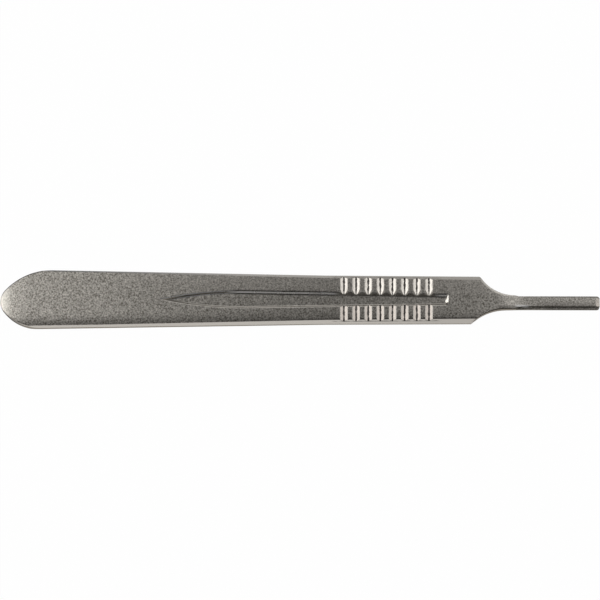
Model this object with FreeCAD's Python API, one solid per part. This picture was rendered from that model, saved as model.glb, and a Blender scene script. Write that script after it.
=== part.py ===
"""Scalpel handle: a flat one-piece steel bar with a tang that takes slip-on blades.

The bar lies along X with the tang at +X, its width is along Y and its thickness
is along Z. The origin is in the middle of the bar's length and width, on the
plane of its lower broad face. All lengths are in millimetres.
"""
import FreeCAD, Part
import math
import os

from FreeCAD import Vector

# The bar
LENGTH = 135.0               # round end to the tip of the tang
THICKNESS = 3.0              # between the two broad faces
END_LENGTH_UPPER = 12.0      # length of the round end along its upper side
END_LENGTH_LOWER = 8.6       # the same along its fuller lower side
END_TIP_RADIUS = 3.7         # of its middle arc; two larger arcs lead on from it
END_TIP_OFFSET = 0.6         # that arc lies this far below the bar's centre line
HEAD_WIDTH = 13.30           # between the tapered sides, where the lower one begins to round
GRIP_WIDTH = 11.10           # where the long taper ends and the grip begins
SHOULDER_WIDTH = 10.74       # at the front corners of the grip
GRIP_LENGTH = 32.9           # from the end of the long taper to the lower front corner

# The broad faces roll off towards the round end
ROLL_LENGTH = 7.0
ROLL_DROP = 0.9
END_EDGE_RADIUS = 0.35       # rounded edge along the rolled-off stretch, less than the bevels

# Ground bevels along both long sides of both faces
BEVEL_EVEN_LENGTH = 22.5     # from the round end, over which the bevel stays narrow
BEVEL_WIDTH_HEAD = 0.42
BEVEL_WIDTH_GRIP = 0.75
BEVEL_WIDTH_FRONT = 1.00
BEVEL_DEPTH_HEAD = 0.80
BEVEL_DEPTH_GRIP = 1.00

# Tapered channel sunk in the middle of both faces
CHANNEL_LENGTH = 65.4        # from its point to its square end
CHANNEL_END_GAP = 5.1        # from its square end to the lower front corner of the grip
CHANNEL_DEPTH = 0.6
CHANNEL_OFFSET = 0.15        # it lies this far below the bar's centre line
CHANNEL_WIDTH_HEAD = 4.10    # where the pointed stretch reaches its full width
CHANNEL_WIDTH_FRONT = 2.60   # at the square end
CHANNEL_WALL_RUN = 0.60      # how far the S-shaped walls lean out
CHANNEL_WALL_STEPS = 4       # narrow strips that make up each wall
CHANNEL_POINT_RADIUS = 84.0  # of the two arcs that close in to the point

# Finger notches milled straight across both faces of the grip
NOTCH_COUNT = 8
NOTCH_PITCH = 2.735
NOTCH_WIDTH = 1.70
NOTCH_DEPTH = 0.42
NOTCH_FLAT = 0.25            # flat bottom of each notch
NOTCH_FRONT_GAP = 4.35       # from the last notch to the square end of the channel

# The neck: two concave arcs that narrow the bar to the tang
NECK_RADIUS_UPPER = 9.3
NECK_RADIUS_LOWER = 11.0
SHOULDER_RADIUS = 0.5        # on the upper front corner; the lower one is sharp
NECK_BEVEL_WIDTH = 0.55      # the upper arc's edges carry the bevel on towards the tang
NECK_BEVEL_DEPTH = 0.60

# The tang
TANG_LENGTH_UPPER = 19.1     # straight stretch of its upper edge
LOWER_SETBACK = 2.0          # the lower neck arc ends this far behind the upper one
TANG_WIDTH = 3.05
TANG_OFFSET = 0.48           # it lies this far below the bar's centre line
TANG_CORNER_RADIUS = 0.65
TANG_THICKNESS = 2.0
RAMP_SETBACK = 3.8           # the ramps begin this far behind the end of the upper neck arc
RAMP_LENGTH = 6.3            # S-shaped, down to the tang's thickness on both faces
LEAD_LENGTH = 0.9            # sloped lead-in on the lip at the tip
LEAD_DROP = 0.4

# The tang's section: a wide plate below, a narrow lip above and a groove between
PLATE_THICKNESS = 0.70
GROOVE_HEIGHT = 0.55         # a little more than a blade's thickness
LIP_WIDTH = 2.0
GROOVE_WEB_WIDTH = 1.36      # metal left between the two grooves
SAW_RADIUS = 8.0             # of the cutter that leaves curved run-outs at the neck
STEP_SETOUT = 2.9            # from the upper neck arc to the cutter's last centre beside the lip
GROOVE_SETOUT = 1.7          # from there to its last centre in the groove under the lip

# How far cutting shapes reach past the metal
OVER = 0.4

# Places worked out from the sizes above
X_ROUND = -LENGTH / 2
X_TIP = LENGTH / 2
X_HEAD = X_ROUND + END_LENGTH_LOWER
X_HEAD_UPPER = X_ROUND + END_LENGTH_UPPER
Z_MIDDLE = THICKNESS / 2
Z_PLATE = Z_MIDDLE - TANG_THICKNESS / 2
Z_GROOVE = Z_PLATE + PLATE_THICKNESS
Z_LIP = Z_GROOVE + GROOVE_HEIGHT
Y_TANG_TOP = TANG_WIDTH / 2 - TANG_OFFSET
Y_TANG_BOTTOM = -TANG_WIDTH / 2 - TANG_OFFSET
X_TANG = X_TIP - TANG_LENGTH_UPPER
X_RAMP = X_TANG - RAMP_SETBACK
X_STEP = X_TANG + STEP_SETOUT
X_GROOVE = X_STEP + GROOVE_SETOUT
UPPER_CENTRE = Vector(X_TANG, Y_TANG_TOP + NECK_RADIUS_UPPER, 0)
LOWER_CENTRE = Vector(X_TANG - LOWER_SETBACK, Y_TANG_BOTTOM - NECK_RADIUS_LOWER, 0)


def shoulder_x(centre, radius):
    """X at which a neck arc reaches the side of the grip."""
    rise = abs(centre.y) - SHOULDER_WIDTH / 2
    return centre.x - math.sqrt(radius ** 2 - rise ** 2)


X_SHOULDER = shoulder_x(LOWER_CENTRE, NECK_RADIUS_LOWER)
X_SHOULDER_UPPER = shoulder_x(UPPER_CENTRE, NECK_RADIUS_UPPER)
X_GRIP = X_SHOULDER - GRIP_LENGTH
X_CHANNEL_END = X_SHOULDER - CHANNEL_END_GAP


def line(start, end):
    return Part.LineSegment(start, end).toShape()


def arc_about(centre, start, end):
    """Arc from start to end about centre, the short way round."""
    middle = (start - centre) + (end - centre)
    middle.normalize()
    through = centre + middle * start.distanceToPoint(centre)
    return Part.Arc(start, through, end).toShape()


def polygon_wire(points):
    return Part.makePolygon(points + [points[0]])


def prism(wire, direction):
    return Part.Face(wire).extrude(direction)


def mirrored(shape):
    """The same cut on the other broad face."""
    return shape.mirror(Vector(0, 0, Z_MIDDLE), Vector(0, 0, 1))


def side_y(x):
    """Half-width of the tapered bar at x, with both straight stretches carried on."""
    if x <= X_GRIP:
        share = (x - X_HEAD) / (X_GRIP - X_HEAD)
        return (HEAD_WIDTH + (GRIP_WIDTH - HEAD_WIDTH) * share) / 2
    share = (x - X_GRIP) / (X_SHOULDER - X_GRIP)
    return (GRIP_WIDTH + (SHOULDER_WIDTH - GRIP_WIDTH) * share) / 2


def upper_shoulder():
    """Tangent points and centre of the round between the grip's side and the upper neck arc."""
    corner = Vector(X_SHOULDER_UPPER, SHOULDER_WIDTH / 2, 0)
    along = corner - Vector(X_GRIP, GRIP_WIDTH / 2, 0)
    along.normalize()
    inward = Vector(along.y, -along.x, 0)
    reach = NECK_RADIUS_UPPER + SHOULDER_RADIUS
    to_start = corner + inward * SHOULDER_RADIUS - UPPER_CENTRE
    projection = to_start.dot(along)
    step = -projection - math.sqrt(projection ** 2 - to_start.dot(to_start) + reach ** 2)
    centre = UPPER_CENTRE + to_start + along * step
    on_side = centre - inward * SHOULDER_RADIUS
    on_arc = UPPER_CENTRE + (centre - UPPER_CENTRE) * (NECK_RADIUS_UPPER / reach)
    return on_side, on_arc, centre


def round_end_arcs():
    """Three tangent arcs: the side arcs' outer ends and the arcs themselves."""
    tip_centre = Vector(X_ROUND + END_TIP_RADIUS, -END_TIP_OFFSET, 0)
    arcs = []
    joints = []
    outer_ends = []
    for side, x_end in ((1, X_HEAD_UPPER), (-1, X_HEAD)):
        outer_end = Vector(x_end, side * side_y(x_end), 0)
        reach = x_end - tip_centre.x
        rise = abs(outer_end.y - tip_centre.y)
        radius = (reach ** 2 + rise ** 2 - END_TIP_RADIUS ** 2) / (2 * (rise - END_TIP_RADIUS))
        side_centre = outer_end - Vector(0, side * radius, 0)
        outward = tip_centre - side_centre
        outward.normalize()
        joint = tip_centre + outward * END_TIP_RADIUS
        joints.append(joint)
        outer_ends.append(outer_end)
        arcs.append(arc_about(side_centre, outer_end, joint))
    arcs.append(arc_about(tip_centre, *joints))
    return outer_ends, arcs


def end_outline():
    """Outline of a plain bar with the round end, square at the front."""
    (head_upper, head_lower), edges = round_end_arcs()
    x_front = X_TIP + 2 * OVER
    front_upper = Vector(x_front, head_upper.y, 0)
    front_lower = Vector(x_front, head_lower.y, 0)
    edges += [
        line(head_upper, front_upper),
        line(front_upper, front_lower),
        line(front_lower, head_lower),
    ]
    return Part.Wire(Part.__sortEdges__(edges))


def side_outline():
    """Outline of the plain bar seen along Y, with both faces rolled off at the round end."""
    roll_radius = (ROLL_LENGTH ** 2 + ROLL_DROP ** 2) / (2 * ROLL_DROP)
    x_roll = X_ROUND + ROLL_LENGTH
    x_left = X_ROUND - OVER
    x_right = X_TIP + 3 * OVER
    sag = roll_radius - math.sqrt(roll_radius ** 2 - (x_roll - x_left) ** 2)
    upper = [Vector(x_left, 0, THICKNESS - sag), Vector(x_roll, 0, THICKNESS)]
    lower = [Vector(x_left, 0, sag), Vector(x_roll, 0, 0)]
    edges = [
        arc_about(Vector(x_roll, 0, THICKNESS - roll_radius), *upper),
        line(upper[1], Vector(x_right, 0, THICKNESS)),
        line(Vector(x_right, 0, THICKNESS), Vector(x_right, 0, 0)),
        line(Vector(x_right, 0, 0), lower[1]),
        arc_about(Vector(x_roll, 0, roll_radius), *lower),
        line(lower[0], upper[0]),
    ]
    return Part.Wire(Part.__sortEdges__(edges))


def plain_bar():
    """Bar with the round end; the rims of its rolled-off faces are rounded."""
    plan = prism(end_outline(), Vector(0, 0, THICKNESS + 2 * OVER))
    plan.translate(Vector(0, 0, -OVER))
    side = prism(side_outline(), Vector(0, 2 * HEAD_WIDTH, 0))
    side.translate(Vector(0, -HEAD_WIDTH, 0))
    bar = plan.common(side)
    rims = []
    for edge in bar.Edges:
        box = edge.BoundBox
        if box.XMin < X_ROUND + END_EDGE_RADIUS and box.YLength > END_TIP_RADIUS:
            rims.append(edge)
    return bar.makeFillet(END_EDGE_RADIUS, rims)


def plan_outline():
    """Outline seen from above: tapered sides, shoulders, neck arcs and tang."""
    half_grip = GRIP_WIDTH / 2
    on_side, on_arc, round_centre = upper_shoulder()
    tang_upper = Vector(UPPER_CENTRE.x, Y_TANG_TOP, 0)
    tang_lower = Vector(LOWER_CENTRE.x, Y_TANG_BOTTOM, 0)
    lower_corner = Vector(X_SHOULDER, -SHOULDER_WIDTH / 2, 0)
    x_left = X_ROUND - 2 * OVER
    left_upper = Vector(x_left, side_y(x_left), 0)
    left_lower = Vector(x_left, -side_y(x_left), 0)
    x_round_off = X_TIP - TANG_CORNER_RADIUS
    y_high = Y_TANG_TOP - TANG_CORNER_RADIUS
    y_low = Y_TANG_BOTTOM + TANG_CORNER_RADIUS
    tip_high = [Vector(x_round_off, Y_TANG_TOP, 0), Vector(X_TIP, y_high, 0)]
    tip_low = [Vector(X_TIP, y_low, 0), Vector(x_round_off, Y_TANG_BOTTOM, 0)]
    edges = [
        line(left_upper, Vector(X_GRIP, half_grip, 0)),
        line(Vector(X_GRIP, half_grip, 0), on_side),
        arc_about(round_centre, on_side, on_arc),
        arc_about(UPPER_CENTRE, on_arc, tang_upper),
        line(tang_upper, tip_high[0]),
        arc_about(Vector(x_round_off, y_high, 0), *tip_high),
        line(tip_high[1], tip_low[0]),
        arc_about(Vector(x_round_off, y_low, 0), *tip_low),
        line(tip_low[1], tang_lower),
        arc_about(LOWER_CENTRE, tang_lower, lower_corner),
        line(lower_corner, Vector(X_GRIP, -half_grip, 0)),
        line(Vector(X_GRIP, -half_grip, 0), left_lower),
        line(left_lower, left_upper),
    ]
    return Part.Wire(Part.__sortEdges__(edges))


def shaped_bar():
    """The plain bar milled to the plan outline."""
    plan = prism(plan_outline(), Vector(0, 0, THICKNESS + 2 * OVER))
    plan.translate(Vector(0, 0, -OVER))
    return plain_bar().common(plan)


def ramp_cut(drop, lead_length, lead_drop):
    """Metal milled off one face: an S-shaped ramp, the tang's face and its lead-in."""
    radius = (RAMP_LENGTH ** 2 + drop ** 2) / (4 * drop)
    x_end = X_RAMP + RAMP_LENGTH
    x_right = X_TIP + OVER
    z_tang = THICKNESS - drop
    z_out = THICKNESS + OVER
    lead_slope = lead_drop / lead_length
    start = Vector(X_RAMP, -HEAD_WIDTH, THICKNESS)
    middle = Vector(X_RAMP + RAMP_LENGTH / 2, -HEAD_WIDTH, THICKNESS - drop / 2)
    end = Vector(x_end, -HEAD_WIDTH, z_tang)
    lead_start = Vector(X_TIP - lead_length, -HEAD_WIDTH, z_tang)
    lead_end = Vector(x_right, -HEAD_WIDTH, z_tang - lead_slope * (lead_length + OVER))
    out_right = Vector(x_right, -HEAD_WIDTH, z_out)
    out_left = Vector(X_RAMP, -HEAD_WIDTH, z_out)
    edges = [
        arc_about(Vector(X_RAMP, -HEAD_WIDTH, THICKNESS - radius), start, middle),
        arc_about(Vector(x_end, -HEAD_WIDTH, z_tang + radius), middle, end),
        line(end, lead_start),
        line(lead_start, lead_end),
        line(lead_end, out_right),
        line(out_right, out_left),
        line(out_left, start),
    ]
    return prism(Part.Wire(Part.__sortEdges__(edges)), Vector(0, 2 * HEAD_WIDTH, 0))


def ramps():
    """The ramp with the lead-in on the lip's face, and the plain one on the plate's."""
    drop = (THICKNESS - TANG_THICKNESS) / 2
    return [ramp_cut(drop, LEAD_LENGTH, LEAD_DROP), mirrored(ramp_cut(drop, LEAD_LENGTH, 0))]


def bevel_section(x, width, depth):
    """Triangle across the bar at x whose long side is the sloped face of the bevel."""
    y_outer = side_y(x)
    slope = depth / width
    y_inner = y_outer - width - OVER / slope
    z_high = THICKNESS + OVER
    z_low = THICKNESS - depth - OVER * slope
    corners = [
        Vector(x, y_inner, z_high),
        Vector(x, y_outer + OVER, z_low),
        Vector(x, y_outer + OVER, z_high),
    ]
    return polygon_wire(corners)


def bevels():
    """Four straight bevels, which run out where the round end curves in."""
    x_front = X_SHOULDER + NECK_RADIUS_UPPER
    stations = [
        (X_ROUND - OVER, BEVEL_WIDTH_HEAD, BEVEL_DEPTH_HEAD),
        (X_ROUND + BEVEL_EVEN_LENGTH, BEVEL_WIDTH_HEAD, BEVEL_DEPTH_HEAD),
        (X_GRIP, BEVEL_WIDTH_GRIP, BEVEL_DEPTH_GRIP),
        (x_front, BEVEL_WIDTH_FRONT, BEVEL_DEPTH_GRIP),
    ]
    sections = [bevel_section(*station) for station in stations]
    upper = Part.makeLoft(sections, True, True)
    lower = upper.mirror(Vector(0, 0, 0), Vector(0, 1, 0))
    return [upper, lower, mirrored(upper), mirrored(lower)]


def neck_bevels():
    """The bevel along the upper neck arc: a cone about the arc's centre for each face."""
    slope = NECK_BEVEL_WIDTH / NECK_BEVEL_DEPTH
    low_radius = NECK_RADIUS_UPPER - OVER * slope
    high_radius = NECK_RADIUS_UPPER + (NECK_BEVEL_DEPTH + OVER) / NECK_BEVEL_DEPTH * NECK_BEVEL_WIDTH
    z_low = THICKNESS - NECK_BEVEL_DEPTH - OVER
    height = NECK_BEVEL_DEPTH + 2 * OVER
    upper = Part.makeCone(low_radius, high_radius, height, Vector(UPPER_CENTRE.x, UPPER_CENTRE.y, z_low))
    return [upper, mirrored(upper)]


def channel_outline(inset, z):
    """Outline of the channel at height z, drawn in by inset from its edge on the face."""
    half_head = CHANNEL_WIDTH_HEAD / 2 - inset
    half_front = CHANNEL_WIDTH_FRONT / 2 - inset
    radius = CHANNEL_POINT_RADIUS
    full_turn = math.acos(1 - CHANNEL_WIDTH_HEAD / 2 / radius)
    x_full = X_CHANNEL_END - CHANNEL_LENGTH + radius * math.sin(full_turn)
    turn = math.acos(1 - half_head / radius)
    x_end = X_CHANNEL_END - inset

    def on_point(angle, side):
        rise = half_head - radius * (1 - math.cos(angle))
        return Vector(x_full - radius * math.sin(angle), side * rise - CHANNEL_OFFSET, z)

    edges = []
    for side in (1, -1):
        full = on_point(0, side)
        arc = Part.Arc(on_point(turn, side), on_point(turn / 2, side), full)
        front = Vector(x_end, side * half_front - CHANNEL_OFFSET, z)
        edges += [arc.toShape(), line(full, front)]
    y_high = half_front - CHANNEL_OFFSET
    y_low = -half_front - CHANNEL_OFFSET
    edges.append(line(Vector(x_end, y_high, z), Vector(x_end, y_low, z)))
    return Part.Wire(Part.__sortEdges__(edges))


def channels():
    """A pointed, tapering channel for each face; its walls follow half a cosine wave."""
    levels = []
    for step in range(CHANNEL_WALL_STEPS + 1):
        share = step / CHANNEL_WALL_STEPS
        drop = CHANNEL_DEPTH * (1 - math.cos(math.pi * share)) / 2
        levels.append((CHANNEL_WALL_RUN * share, drop))
    lean = levels[1][0] / levels[1][1]
    outlines = [channel_outline(-OVER * lean, THICKNESS + OVER)]
    for inset, drop in levels[1:]:
        outlines.append(channel_outline(inset, THICKNESS - drop))
    upper = Part.makeLoft(outlines, True, True)
    return [upper, mirrored(upper)]


def notches():
    """The row of V-shaped notches for each face, open at both sides of the bar."""
    lean = (NOTCH_WIDTH - NOTCH_FLAT) / 2 / NOTCH_DEPTH
    half_mouth = NOTCH_WIDTH / 2 + OVER * lean
    x_last = X_CHANNEL_END - NOTCH_FRONT_GAP
    cuts = []
    for index in range(NOTCH_COUNT):
        x = x_last - index * NOTCH_PITCH
        section = [
            Vector(x - NOTCH_FLAT / 2, -GRIP_WIDTH, THICKNESS - NOTCH_DEPTH),
            Vector(x + NOTCH_FLAT / 2, -GRIP_WIDTH, THICKNESS - NOTCH_DEPTH),
            Vector(x + half_mouth, -GRIP_WIDTH, THICKNESS + OVER),
            Vector(x - half_mouth, -GRIP_WIDTH, THICKNESS + OVER),
        ]
        upper = prism(polygon_wire(section), Vector(0, 2 * GRIP_WIDTH, 0))
        cuts += [upper, mirrored(upper)]
    return cuts


def saw_cut(side, half_width, x_last, z_low, z_high):
    """Metal that a disc cutter takes off one side of the tang between two heights."""
    y_flank = side * half_width - TANG_OFFSET
    y_out = side * (half_width + SAW_RADIUS) - TANG_OFFSET
    x_out = X_TIP + OVER
    start = Vector(x_last - SAW_RADIUS, y_out, z_low)
    flank = Vector(x_last, y_flank, z_low)
    edges = [
        arc_about(Vector(x_last, y_out, z_low), start, flank),
        line(flank, Vector(x_out, y_flank, z_low)),
        line(Vector(x_out, y_flank, z_low), Vector(x_out, y_out, z_low)),
        line(Vector(x_out, y_out, z_low), start),
    ]
    wire = Part.Wire(Part.__sortEdges__(edges))
    return prism(wire, Vector(0, 0, z_high - z_low))


def tang_cuts():
    """Steps beside the lip and the blade grooves under it, on both sides."""
    cuts = []
    for side in (1, -1):
        cuts.append(saw_cut(side, LIP_WIDTH / 2, X_STEP, Z_GROOVE, THICKNESS + OVER))
        cuts.append(saw_cut(side, GROOVE_WEB_WIDTH / 2, X_GROOVE, Z_GROOVE, Z_LIP))
    return cuts


def scalpel_handle():
    bar = shaped_bar()
    for cuts in (bevels(), neck_bevels(), ramps(), channels(), notches(), tang_cuts()):
        bar = bar.cut(cuts)
    return bar


os.makedirs("parts", exist_ok=True)
handle = scalpel_handle()
solid = handle.Solids[0]
box = solid.optimalBoundingBox()
print("solids", len(handle.Solids), "valid", solid.isValid())
print("size", round(box.XLength, 3), round(box.YLength, 3), round(box.ZLength, 3))
print("volume", round(solid.Volume, 1), "faces", len(solid.Faces))
solid.exportStep("parts/scalpel_handle.step")
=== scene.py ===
# %% [markdown]
# # A scalpel handle of bead-blasted steel
#
# The real handle is one flat bar of stainless steel: milled, blasted with fine glass beads
# and ground along its sides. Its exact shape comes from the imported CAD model. It could be
# modelled here once more, but that would only be a less exact copy, so nothing is added to
# it. The lesson is about finish and light: how one steel can look matt on its faces and
# bright on its ground edges, and how a studio is laid out for metal.

import math

import bpy
import numpy as np
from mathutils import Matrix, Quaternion, Vector


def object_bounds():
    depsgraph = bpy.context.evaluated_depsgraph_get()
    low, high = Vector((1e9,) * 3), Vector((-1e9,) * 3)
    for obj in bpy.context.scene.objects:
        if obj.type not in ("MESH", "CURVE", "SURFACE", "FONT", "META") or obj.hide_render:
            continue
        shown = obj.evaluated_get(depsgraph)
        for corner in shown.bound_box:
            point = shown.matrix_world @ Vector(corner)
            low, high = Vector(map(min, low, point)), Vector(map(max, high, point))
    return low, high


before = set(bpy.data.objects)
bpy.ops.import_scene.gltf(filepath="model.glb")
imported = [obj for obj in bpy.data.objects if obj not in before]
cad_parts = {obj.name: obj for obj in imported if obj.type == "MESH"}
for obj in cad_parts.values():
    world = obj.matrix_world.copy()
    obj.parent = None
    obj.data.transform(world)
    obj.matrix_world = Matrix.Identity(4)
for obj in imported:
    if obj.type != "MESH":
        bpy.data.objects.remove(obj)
cad_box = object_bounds()
low, high = cad_box
MM = 0.001
length, width, thickness = high - low
print("handle, mm:", [round(side / MM, 2) for side in (length, width, thickness)])

# %% [markdown]
# ## Colours and nodes
#
# Colours are given as sRGB hex values, but the renderer adds up light in linear values, so one
# function turns the one into the other. A node tree could be clicked together by hand. Written in
# code, it can be read and changed line by line, and one small function keeps each node to a line or
# two.

# %% Colour and node helpers
def linear(hex_code):
    """Channels up to 0.04045 are divided by 12.92; the others follow a curve of power 2.4."""
    srgb = np.array([int(hex_code[i:i + 2], 16) / 255 for i in (1, 3, 5)])
    curve = np.where(srgb <= 0.04045, srgb / 12.92, ((srgb + 0.055) / 1.055) ** 2.4)
    return (*curve, 1.0)


def add_node(tree, kind, settings=None, links=None, **values):
    """Adds one node; values set its unlinked sockets and links join sockets to its inputs."""
    node = tree.nodes.new(kind)
    for name, value in (settings or {}).items():
        setattr(node, name, value)
    for name, value in values.items():
        node.inputs[name.replace("_", " ")].default_value = value
    for name, socket in (links or {}).items():
        tree.links.new(socket, node.inputs[name])
    return node


print("#808080 in linear values:", [round(float(value), 3) for value in linear("#808080")])

# %% [markdown]
# ## Masks
#
# One bar carries several finishes. Each could be a material of its own on picked faces,
# but the CAD mesh has to stay as it is, and a finish often ends in the middle of a face.
# So there is one material with masks in it. A mask is a value from 0 to 1 that is worked
# out at every point, from where the point is and from the way that the metal faces there.
# Where several masks have to hold at once they are multiplied, and a blend of two colours
# takes a mask as its share.

# %% Mask helpers
def calculate(operation, first, second=None):
    """A math node on sockets or plain numbers; at least one of the two is a socket."""
    socket = first if isinstance(first, bpy.types.NodeSocket) else second
    node = add_node(socket.node.id_data, "ShaderNodeMath", {"operation": operation})
    for number, value in enumerate((first, second)):
        if isinstance(value, bpy.types.NodeSocket):
            node.id_data.links.new(value, node.inputs[number])
        elif value is not None:
            node.inputs[number].default_value = value
    return node.outputs[0]


def spread(socket, start, end, to_start=0.0, to_end=1.0):
    """Maps a value from one range to another and stops at both ends."""
    node = add_node(socket.node.id_data, "ShaderNodeMapRange", None, {"Value": socket},
                    From_Min=start, From_Max=end, To_Min=to_start, To_Max=to_end)
    return node.outputs["Result"]


def fade(socket, start, end, to_start=0.0, to_end=1.0):
    """The same for a place on the handle, with start and end in millimetres."""
    return spread(socket, start * MM, end * MM, to_start, to_end)


def how_far(socket, centre):
    """How far a value is from a centre: the size of their difference."""
    return calculate("ABSOLUTE", calculate("SUBTRACT", socket, centre))


def all_of(*masks, strength=1.0):
    """The product of all masks; strength is the most that it can reach."""
    product = masks[0]
    for mask in masks[1:]:
        product = calculate("MULTIPLY", product, mask)
    return product if strength == 1.0 else calculate("MULTIPLY", product, strength)


def blend(share, first, second):
    """Mixes two hex colours or colour sockets; a share of 1 gives the second."""
    node = add_node(share.node.id_data, "ShaderNodeMix", {"data_type": "RGBA"})
    node.id_data.links.new(share, node.inputs["Factor"])
    colour_inputs = [socket for socket in node.inputs if socket.type == "RGBA"]
    for socket, value in zip(colour_inputs, (first, second)):
        if isinstance(value, str):
            socket.default_value = linear(value)
        else:
            node.id_data.links.new(value, socket)
    return next(socket for socket in node.outputs if socket.type == "RGBA")


print("mask helpers ready")

# %% [markdown]
# ## Stainless steel with three finishes
#
# The way that the metal faces tells how it was finished:
# - broad faces, which point straight up or down, are blasted with glass beads,
# - sloped ones, such as the side bevels and the notches, are ground and smoother,
# - upright walls, which no grinding wheel touched, stay dull, and painted shade darkens them
#   further.
#
# The handle lies flat, so the height (Z) of the normal tells them apart. The true normal
# is read, because the smoothed one would blur a finish across an edge. Both broad faces
# look the same, so most heights are measured from the middle of the thickness.

# %% Where each point is and how the metal faces there
FLAT = (0.90, 0.96)
UPRIGHT = (0.40, 0.20)
WHITE = "#ffffff"

steel = bpy.data.materials.new("bead_blasted_stainless_steel")
steel.use_nodes = True
tree = steel.node_tree
tree.nodes.clear()
place = add_node(tree, "ShaderNodeTexCoord").outputs["Object"]
where = add_node(tree, "ShaderNodeSeparateXYZ", None, {"Vector": place})
x, y, z = (where.outputs[axis] for axis in "XYZ")
true_normal = add_node(tree, "ShaderNodeNewGeometry").outputs["True Normal"]
facing = add_node(tree, "ShaderNodeSeparateXYZ", None, {"Vector": true_normal})
facing_x, facing_y, facing_z = (facing.outputs[axis] for axis in "XYZ")
steepness = calculate("ABSOLUTE", facing_z)
is_blasted = spread(steepness, *FLAT)
is_upright = spread(steepness, *UPRIGHT)
from_middle = how_far(z, thickness / 2)
print("material", steel.name)

# %% [markdown]
# ## The blasted faces
#
# Glass beads leave a steel face full of tiny dents. Up close each dent is a small curved
# mirror, and from a step away they add up to an even, warm gray satin with a fine grain.
# The real dents are a few hundredths of a millimetre wide, too fine for a picture in which
# a pixel is over 0.2 mm, so the grain is drawn about 0.3 mm wide. An image of a blasted
# plate could be laid on instead, but a noise in the object's own space runs on round every
# edge and needs no UV map.

# %% Grain of the blasted faces
GRAIN, PATCH = 0.32 * MM, 3 * MM
NOISE = (0.30, 0.70)  # nearly all values of a noise lie between these
BLASTED_DARK, BLASTED_LIGHT = "#706c64", "#dbd6ce"

grain = add_node(tree, "ShaderNodeTexNoise", {"noise_dimensions": "3D"}, {"Vector": place},
                 Scale=1 / GRAIN, Detail=1.5, Roughness=0.6)
patches = add_node(tree, "ShaderNodeTexNoise", {"noise_dimensions": "3D"}, {"Vector": place},
                   Scale=1 / PATCH, Detail=2.0, Roughness=0.5)
blasted = blend(spread(grain.outputs["Fac"], *NOISE), BLASTED_DARK, BLASTED_LIGHT)
print("grain", round(GRAIN / MM, 2), "mm")

# %% [markdown]
# Handling wears the round end bright at its tip. The other places are painted light and shade,
# standing for how the light falls: the far side of the grip is painted a little paler, and the
# slope where the neck steps down to the tang gets a painted highlight. The neck's near edge, the
# near half of the tang's lip and the thin plate below that lip are darker with painted shade. Each
# place is a box with soft borders, because they are too few to need a painted map.

# %% Worn tip, painted light and painted shade on the blasted faces
PAINTED_PALE, WORN_TIP, SHADED = "#fff8f0", "#e9e5db", "#565350"
LIP_SLOPE_X = 48.2 * MM

# Each has a colour and a mask, whose fades run from nothing to full, in mm along X, Y or Z
# The pale places are painted light and the shaded ones painted shade; only the worn tip is the
# steel's own colour.
worn_and_painted_spots = {
    "painted light on the far side of the grip": (PAINTED_PALE, all_of(fade(x, -45, -15), fade(y, 0, 5, 0.02, 0.18))),
    "tip of the round end": (WORN_TIP, fade(x, -64.9, -67.1, 0.0, 0.7)),
    "painted highlight on the slope down to the tang": (PAINTED_PALE, fade(how_far(x, LIP_SLOPE_X), 3.2, 1.2, 0.0, 0.12)),
    "painted shade on the plate below the lip": (SHADED, all_of(fade(x, 53, 56), fade(z, 1.4, 1.3), strength=0.35)),
    "painted shade on the near half of the lip": (SHADED, all_of(fade(x, 51, 56), fade(y, -0.3, -1.4),
                                            fade(z, 1.4, 1.5), strength=0.5)),
    "painted shade on the near edge of the neck": (SHADED, all_of(fade(x, 43.5, 46), fade(x, 53, 50),
                                             fade(y, -1.25, -1.65), strength=0.65)),
}
for colour, mask in worn_and_painted_spots.values():
    blasted = blend(mask, blasted, colour)
print("on the blasted faces:", ", ".join(worn_and_painted_spots))

# %% [markdown]
# ## The ground bevels
#
# A grinding wheel leaves the bevels smoother than the faces, and they mirror the room. The far one
# mirrors a darker part of it, most of all near the round end. That could be left to the lamps
# alone, but the bevel is so narrow in the picture that a painted reflection, a darker steel colour,
# gives the same line without a lamp for it. On the neck the bevel was blasted with the faces, and
# the lead-in slope at the tang's tip is darkened with painted shade.

# %% Colours of the ground bevels
GROUND, PAINTED_DIM_GROUND, PAINTED_DARK_GROUND = "#bdb8b1", "#96928c", "#2c2a28"

# Painted reflection: the far bevel is darker for the darker room that it mirrors.
is_far_side = spread(facing_y, 0.2, 0.4)
far_bevel_reflection = blend(fade(x, -52, -10), PAINTED_DARK_GROUND, PAINTED_DIM_GROUND)
ground = blend(is_far_side, GROUND, far_bevel_reflection)
is_neck = fade(x, 40.5, 42.5, 0.0, 0.8)
# Painted shade on the lead-in slope at the tang's tip.
is_lead_in_shade = fade(x, 66.0, 66.6, 0.0, 0.7)
ground = blend(is_lead_in_shade, blend(is_neck, ground, blasted), SHADED)
print("ground bevels ready")

# %% [markdown]
# ## The finger notches
#
# Eight notches cross each long side, cut with a V-shaped wheel. Their flanks are the
# brightest metal on the handle, with a duller edge at the top where the blasting reached
# in. The near row is duller, and the far row narrows towards the channel. The notches
# themselves are solid CAD, and only their polish is drawn: a slow noise moves its borders
# by a few hundredths of a millimetre, so that no two notches look the same.

# %% Polish of the notches
NOTCH_EDGE, NEAR_NOTCH, NOTCH_SHADE = "#94908a", "#a19a93", "#5c5954"
UNEVEN_WIDTH, UNEVEN_BY = 0.9 * MM, 0.06 * MM
ROW_END = (32, 31)  # mm along X, between the last notch and the channel's end
NARROWING_Y = (1.0 * MM, 2.3 * MM)
NARROWING_HEIGHT = (1.10 * MM, 1.52 * MM)

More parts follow.
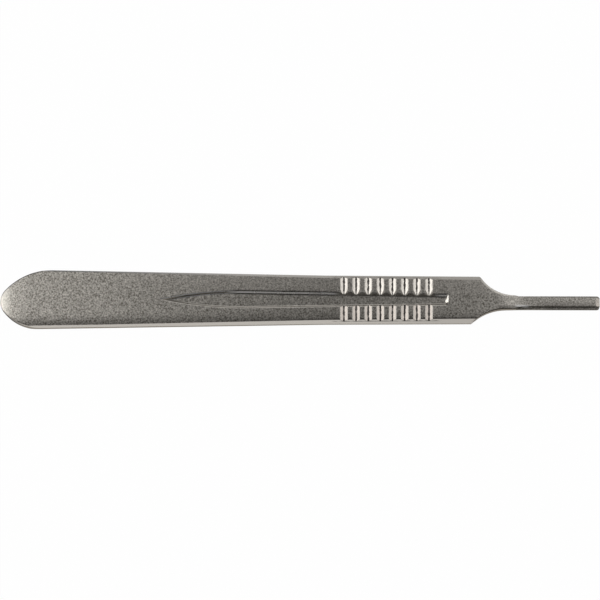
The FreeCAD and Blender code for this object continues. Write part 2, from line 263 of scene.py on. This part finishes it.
uneven = add_node(tree, "ShaderNodeTexNoise", {"noise_dimensions": "3D"}, {"Vector": place},
                  Scale=1 / UNEVEN_WIDTH, Detail=1.0, Roughness=0.5)
wander = spread(uneven.outputs["Fac"], *NOISE, -UNEVEN_BY, UNEVEN_BY)
uneven_height = calculate("ADD", from_middle, wander)
is_flank = spread(calculate("ABSOLUTE", facing_x), 0.3, 0.4)
is_near_flank = all_of(is_flank, fade(y, 1, -1))
is_notch_edge = all_of(is_flank, fade(uneven_height, 1.28, 1.50))
ground = blend(is_notch_edge, blend(is_near_flank, ground, NEAR_NOTCH), NOTCH_EDGE)

narrowing = spread(y, *NARROWING_Y, *NARROWING_HEIGHT)
above_narrowing = calculate("SUBTRACT", from_middle, narrowing)
is_beside_point = all_of(is_flank, fade(y, 0.2, 0.3), fade(above_narrowing, -0.03, 0.04),
                         fade(x, *ROW_END))
ground = blend(is_beside_point, ground, NOTCH_SHADE)
print("notches ready")

# %% [markdown]
# ## The channel
#
# A pointed channel runs down the middle of each face. Its end wall catches the light, which is
# painted in as a light steel colour. Its side walls curve in an S, so in the picture they draw fine
# lines: a light one on the near wall, and on the far wall a dark one, which starts faintly at the
# point and soon parts into dark, light and dark. A wall is three pixels wide, too few for mirrored
# lamps to draw such lines, so the colour of the steel draws them as painted highlights and painted
# shade. Between the notches, the far wall is cut up and plain gray.

# %% Lines along the channel's walls
CHANNEL_LIGHT, CHANNEL_GRAY, CHANNEL_DARK = "#f2ede5", "#8f8b84", "#4c4946"
NEAR_LINE = "#d3cec6"
ROW_MIDDLE_X, WALL_MIDDLE_HEIGHT = 19.5 * MM, 1.20 * MM

# Painted highlight on the channel's end wall.
is_channel_end = all_of(spread(facing_x, -0.1, -0.2), fade(x, 31, 32))
ground = blend(is_channel_end, ground, CHANNEL_LIGHT)
is_in_channel = all_of(fade(calculate("ABSOLUTE", y), 3.2, 3.1),
                       fade(calculate("ABSOLUTE", x), 33, 32.9),
                       calculate("SUBTRACT", 1.0, is_flank))
is_near_wall = all_of(is_in_channel, spread(facing_y, 0.15, 0.25))
is_far_wall = all_of(is_in_channel, spread(facing_y, -0.15, -0.25))
is_wall_middle = fade(how_far(from_middle, WALL_MIDDLE_HEIGHT), 0.22, 0.20)
is_parted = fade(x, -17, -14)
is_by_notch = fade(how_far(x, ROW_MIDDLE_X), 12, 10.5)
point_line = blend(fade(x, -31, -26), CHANNEL_LIGHT, CHANNEL_GRAY)
middle_line = blend(is_by_notch, blend(is_parted, point_line, WHITE), CHANNEL_GRAY)
edge_lines = blend(is_by_notch, blend(is_parted, WHITE, CHANNEL_DARK), CHANNEL_GRAY)
# Painted highlights and painted shade draw the lines along both walls.
ground = blend(is_near_wall, ground, NEAR_LINE)
ground = blend(is_far_wall, ground, blend(is_wall_middle, edge_lines, middle_line))
print("channel lines ready")

# %% [markdown]
# From where the far wall's line parts, the blasted metal beside both edges of that wall is
# darker too. The middle of the wall is 1.60 mm from the handle's middle where the channel
# is widest and draws in to 0.85 mm, so the mask follows the distance from that line.

# %% Shade beside the channel's far wall
WALL_X = (-13.5 * MM, 33.4 * MM)
WALL_Y = (1.60 * MM, 0.85 * MM)

from_wall = how_far(y, spread(x, *WALL_X, *WALL_Y))
is_beside_wall = all_of(fade(from_wall, 0.60, 0.42), is_parted, fade(x, 33.4, 33.2),
                        spread(is_by_notch, 0.0, 1.0, 1.0, 0.5), strength=0.6)
blasted = blend(is_beside_wall, blasted, SHADED)
print("shade beside the channel ready")

# %% [markdown]
# ## The faces' slight bow
#
# Polishing rounds a flat face a little towards its edge: too little to change the part's shape, yet
# enough to turn what the face mirrors. Geometry for it would have to change the CAD mesh, so a bump
# does it. Over the last CROWN_WIDTH before the near bevel, the height falls with the square of the
# way, up to a slope of CROWN_SLOPE. The bevel's inner edge runs in three straight stretches, and
# the face has a thin dark rim of painted shade along it.

# %% Distance from the near bevel
CROWN_WIDTH, CROWN_SLOPE = 2.5 * MM, 0.24
BEVEL_START_Y = -6.23 * MM
BEVEL_RUNS = ((-58.9, -45.0, 0.24), (-45.0, 5.6, 1.19), (5.6, 38.5, 0.37))  # X, X, rise in Y

bevel_edge = BEVEL_START_Y
for start, end, rise in BEVEL_RUNS:
    bevel_edge = calculate("ADD", bevel_edge, fade(x, start, end, 0.0, rise * MM))
from_bevel = calculate("SUBTRACT", y, bevel_edge)
bow = calculate("POWER", spread(from_bevel, 0.0, CROWN_WIDTH, 1.0, 0.0), 2.0)
# Painted shade: a thin dark rim on the face along the near bevel.
is_rim_shade = all_of(fade(from_bevel, 0.45, 0.15), fade(x, -30, 20), spread(facing_z, 0.97, 0.99),
                strength=0.75)
print("bow", round(CROWN_WIDTH * CROWN_SLOPE / 2 / MM, 2), "mm")

# %% [markdown]
# ## Dull metal and painted shade
#
# Where neither wheel nor beads reach, on the upright walls, the steel stays duller, and its dark
# colour holds painted shade as well. The very bottom of the notches and two corners of the
# channel's slanted end wall are darkened with painted shade alone. An Ambient Occlusion node finds
# hollows by itself, but it is slow and evenly soft, where these have crisp borders, so masks place
# them. The long sides were at least brushed, and are lighter, apart from the upper part of the
# neck's near side, which gets painted shade.

# %% Masks and colours of the dull metal and painted shade
SIDE_WALL, NECK_RIM_SHADE = "#aaa59e", "#3a3735"
BETWEEN_ROWS_Y = 1 * MM
SLANT_X, SLANT_Y = (32.7 * MM, 33.3 * MM), (-0.50 * MM, 0.80 * MM)

# Painted shade at the very bottom of the notches.
is_notch_bottom_shade = all_of(fade(from_middle, 1.04, 1.06), fade(uneven_height, 1.16, 1.10),
                         fade(x, 7, 8), fade(x, *ROW_END),
                         fade(how_far(y, BETWEEN_ROWS_Y), 0.6, 1.1))
above_slant = calculate("SUBTRACT", y, spread(x, *SLANT_X, *SLANT_Y))
is_corner = calculate("MAXIMUM", fade(above_slant, 0.0, 0.2), fade(y, -0.55, -0.75))
# Painted shade in two corners of the channel's end wall.
is_end_corner_shade = all_of(is_corner, is_channel_end)
is_dull_or_shaded = calculate("MAXIMUM", is_upright, calculate("MAXIMUM", is_notch_bottom_shade, is_end_corner_shade))

is_long_side = all_of(is_upright, fade(x, -66, -62), fade(x, 52, 57, 1.0, 0.5))
# Painted shade on the upper part of the neck's near side.
is_neck_rim_shade = all_of(fade(x, 38.5, 40.0), fade(x, 56, 52), spread(facing_y, -0.2, -0.4),
                     fade(z, 1.6, 2.2), strength=0.75)
# Upright walls: a duller finish, with painted shade in their dark colour.
dull_and_shade = blend(is_neck_rim_shade, blend(is_long_side, SHADED, SIDE_WALL), NECK_RIM_SHADE)
print("dull metal ready")

# %% [markdown]
# ## The steel, put together
#
# A metal's base colour is the colour of its mirror image, and its specular tint colours
# that image at a grazing angle, so dull metal needs both. Smooth steel has a roughness of
# about 0.1 and sandblasted steel one of about 0.5; glass beads and a wheel lie between. The
# Bevel node rounds the edges by 0.2 mm for the light alone, as polishing did to the real
# ones, and less on the channel's narrow walls. Two bumps follow it: the bow and the dents.
# Where the tang's groove starts, the lip's near edge has a small painted highlight, a bright glint.

# %% Colour and roughness
GLINT_X, GLINT_Y = 50 * MM, -1.38 * MM
GROUND_ROUGHNESS, BLASTED_ROUGHNESS, ROUGHNESS_VARIES = 0.28, 0.40, 0.02

# Painted highlight at the start of the tang's groove.
is_painted_glint = all_of(fade(how_far(x, GLINT_X), 2.0, 1.0), fade(how_far(y, GLINT_Y), 0.25, 0.15),
                  strength=0.5)
faces = blend(is_rim_shade, blend(is_blasted, ground, blasted), SHADED)
colour = blend(is_painted_glint, blend(is_dull_or_shaded, faces, dull_and_shade), WHITE)
grazing_tint = blend(is_painted_glint, blend(is_dull_or_shaded, WHITE, dull_and_shade), WHITE)
roughness = calculate("ADD", spread(is_blasted, 0.0, 1.0, GROUND_ROUGHNESS, BLASTED_ROUGHNESS),
                      spread(patches.outputs["Fac"], *NOISE, -ROUGHNESS_VARIES, ROUGHNESS_VARIES))
print("nodes so far:", len(tree.nodes))

# %% Rounded edges, bumps and shader
EDGE_RADIUS, CHANNEL_EDGE_RADIUS = 0.20 * MM, 0.05 * MM
DENT_DEPTH, GROUND_DENTS, BLASTED_DENTS = 0.03 * MM, 0.05, 0.5

is_channel_wall = calculate("MAXIMUM", is_near_wall, is_far_wall)
edge = add_node(tree, "ShaderNodeBevel", {"samples": 6},
                {"Radius": spread(is_channel_wall, 0.0, 1.0, EDGE_RADIUS, CHANNEL_EDGE_RADIUS)})
crown = add_node(tree, "ShaderNodeBump", {"invert": True},
                 {"Height": bow, "Normal": edge.outputs["Normal"], "Strength": is_blasted},
                 Distance=CROWN_WIDTH * CROWN_SLOPE / 2)
dents = add_node(tree, "ShaderNodeBump", None,
                 {"Height": grain.outputs["Fac"], "Normal": crown.outputs["Normal"],
                  "Strength": spread(is_blasted, 0.0, 1.0, GROUND_DENTS, BLASTED_DENTS)},
                 Distance=DENT_DEPTH)
satin = add_node(tree, "ShaderNodeBsdfPrincipled", None,
                 {"Base Color": colour, "Roughness": roughness, "Specular Tint": grazing_tint,
                  "Normal": dents.outputs["Normal"]}, Metallic=1.0)
add_node(tree, "ShaderNodeOutputMaterial", None, {"Surface": satin.outputs["BSDF"]})

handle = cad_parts["scalpel_handle"]
handle.material_slots[0].material = steel
print("steel on", handle.name, "with", len(tree.nodes), "nodes")

# %% [markdown]
# ## Floor
#
# The handle lies on a white table. A white floor could be lit until it burns out, but the
# same light would wash out the steel. So to the camera and in reflections the paper glows
# by itself, at exactly white, and a small share of plain matt paper keeps the handle's
# shadow. It lies a hair below the handle, so that the two surfaces don't flicker.

# %% Floor
FLOOR_SIDE, FLOOR_GAP = 3.0, 0.02 * MM
floor_mesh = bpy.data.meshes.new("table_top")
half = FLOOR_SIDE / 2
corners = [(-half, -half, 0), (half, -half, 0), (half, half, 0), (-half, half, 0)]
floor_mesh.from_pydata(corners, [], [(0, 1, 2, 3)])
floor = bpy.data.objects.new("table_top", floor_mesh)
bpy.context.scene.collection.objects.link(floor)
floor.location.z = -FLOOR_GAP
print("floor", FLOOR_SIDE, "m")

# %% White table paper
SHADOW_SHARE = 0.015
PAPER = "#fafafa"

paper = bpy.data.materials.new("white_table_paper")
paper.use_nodes = True
tree = paper.node_tree
tree.nodes.clear()
rays = add_node(tree, "ShaderNodeLightPath")
seen = calculate("MAXIMUM", rays.outputs["Is Camera Ray"], rays.outputs["Is Glossy Ray"])
seen = calculate("MAXIMUM", seen, rays.outputs["Is Transmission Ray"])
share = calculate("MULTIPLY", seen, 1 - SHADOW_SHARE)
matt = add_node(tree, "ShaderNodeBsdfDiffuse", None, None, Color=linear(PAPER))
glow = add_node(tree, "ShaderNodeEmission", None, None, Color=linear(WHITE), Strength=1.0)
mixed = add_node(tree, "ShaderNodeMixShader", None, {"Fac": share})
tree.links.new(matt.outputs[0], mixed.inputs[1])
tree.links.new(glow.outputs[0], mixed.inputs[2])
add_node(tree, "ShaderNodeOutputMaterial", None, {"Surface": mixed.outputs[0]})
floor_mesh.materials.append(paper)
print("shadow share", SHADOW_SHARE)

# %% [markdown]
# ## Studio
#
# Metal shows nothing but what stands around it, so the surroundings matter more than the
# lamps. A photographed room could serve as the world, but a few gray bands are easier to
# steer: white near the horizon, dark above it, a little lighter straight overhead, and
# almost black high up on the near side, which darkens whatever leans towards the camera.

# %% World
SKY = ((0.0, 0.9), (0.35, 0.75), (0.6, 0.10), (1.0, 0.170))  # height (Z) and gray
NEAR_SIDE, HIGH_UP, LEFT_OF_LIGHT = (-0.02, -0.30), (0.40, 0.60), 0.12

world = bpy.data.worlds.new("studio")
bpy.context.scene.world = world
world.use_nodes = True
tree = world.node_tree
tree.nodes.clear()
towards = add_node(tree, "ShaderNodeTexCoord")
parts = add_node(tree, "ShaderNodeSeparateXYZ", None, {"Vector": towards.outputs["Generated"]})
sky = add_node(tree, "ShaderNodeValToRGB", None, {"Fac": parts.outputs["Z"]})
for height, gray in SKY[1:-1]:
    sky.color_ramp.elements.new(height)
for stop, (height, gray) in zip(sky.color_ramp.elements, SKY):
    stop.position = height
    stop.color = (gray, gray, gray, 1)
is_dark_patch = all_of(spread(parts.outputs["Y"], *NEAR_SIDE), spread(parts.outputs["Z"], *HIGH_UP))
glow = add_node(tree, "ShaderNodeBackground", None,
                {"Color": sky.outputs["Color"],
                 "Strength": spread(is_dark_patch, 0.0, 1.0, 1.0, LEFT_OF_LIGHT)})
add_node(tree, "ShaderNodeOutputWorld", None, {"Surface": glow.outputs[0]})
print("gray of the sky, from the horizon up:", [gray for height, gray in SKY])

# %% [markdown]
# Four area lamps add to it. A soft box at each end of the handle lights the flanks of the
# notches, and two weak panels overhead, one above the round end and one above the tang,
# lift the metal there. Area lamps are soft by their size, and they show in metal as what
# they are, plain bright rectangles.

# %% Lamps
def soft_box(name, place, size, power, aim):
    """A rectangular area lamp at place, turned to face aim; metres and watts."""
    data = bpy.data.lights.new(name, "AREA")
    data.shape = "RECTANGLE"
    data.size, data.size_y = size
    data.energy = power
    lamp = bpy.data.objects.new(name, data)
    lamp.location = place
    lamp.rotation_euler = (Vector(aim) - Vector(place)).to_track_quat("-Z", "Y").to_euler()
    bpy.context.scene.collection.objects.link(lamp)
    return lamp


lamps = [
    soft_box("left_box", (-0.45, 0.02, 0.25), (0.25, 0.5), 0.74, (0, 0, 0)),
    soft_box("right_box", (0.52, 0.02, 0.24), (0.20, 0.5), 0.61, (0, 0, 0)),
    soft_box("head_panel", (-0.145, 0.065, 0.15), (0.20, 0.14), 0.072, (-0.145, 0.065, 0)),
    soft_box("tang_panel", (0.105, 0.03, 0.10), (0.10, 0.12), 0.021, (0.105, 0.03, 0)),
]
print("lamps, W:", {lamp.name: round(lamp.data.energy, 3) for lamp in lamps})

# %% [markdown]
# ## Camera
#
# The picture was taken almost straight down from far off, so the two long sides stay
# parallel and only a sliver of the near side shows. An orthographic camera would do, but a
# long lens keeps the trace of perspective that every real picture has. The lens is worked
# out so that the handle fills the width of the frame, and the roll and shift set it
# straight to a fraction of a pixel.

# %% Camera
ELEVATION, ROLL = math.radians(79), math.radians(0.125)
DISTANCE = 1.0
SENSOR = 36.0
MARGIN = 1.0015
SHIFT_UP = 0.0004

centre = (low + high) / 2
camera_data = bpy.data.cameras.new("camera")
camera_data.sensor_width = SENSOR
camera_data.lens = SENSOR * DISTANCE / (length * MARGIN)
camera_data.shift_y = SHIFT_UP
camera_data.clip_start = 0.01
camera = bpy.data.objects.new("camera", camera_data)
away = Vector((0, -math.cos(ELEVATION), math.sin(ELEVATION)))
camera.location = centre + away * DISTANCE
level = (-away).to_track_quat("-Z", "Y")
camera.rotation_euler = (level @ Quaternion((0, 0, 1), ROLL)).to_euler()
bpy.context.scene.collection.objects.link(camera)
bpy.context.scene.camera = camera
bpy.context.scene.view_settings.view_transform = "Standard"
print("lens, mm:", round(camera_data.lens, 1))

# %% [markdown]
# ## The end

# %% The end
print("scene ready")
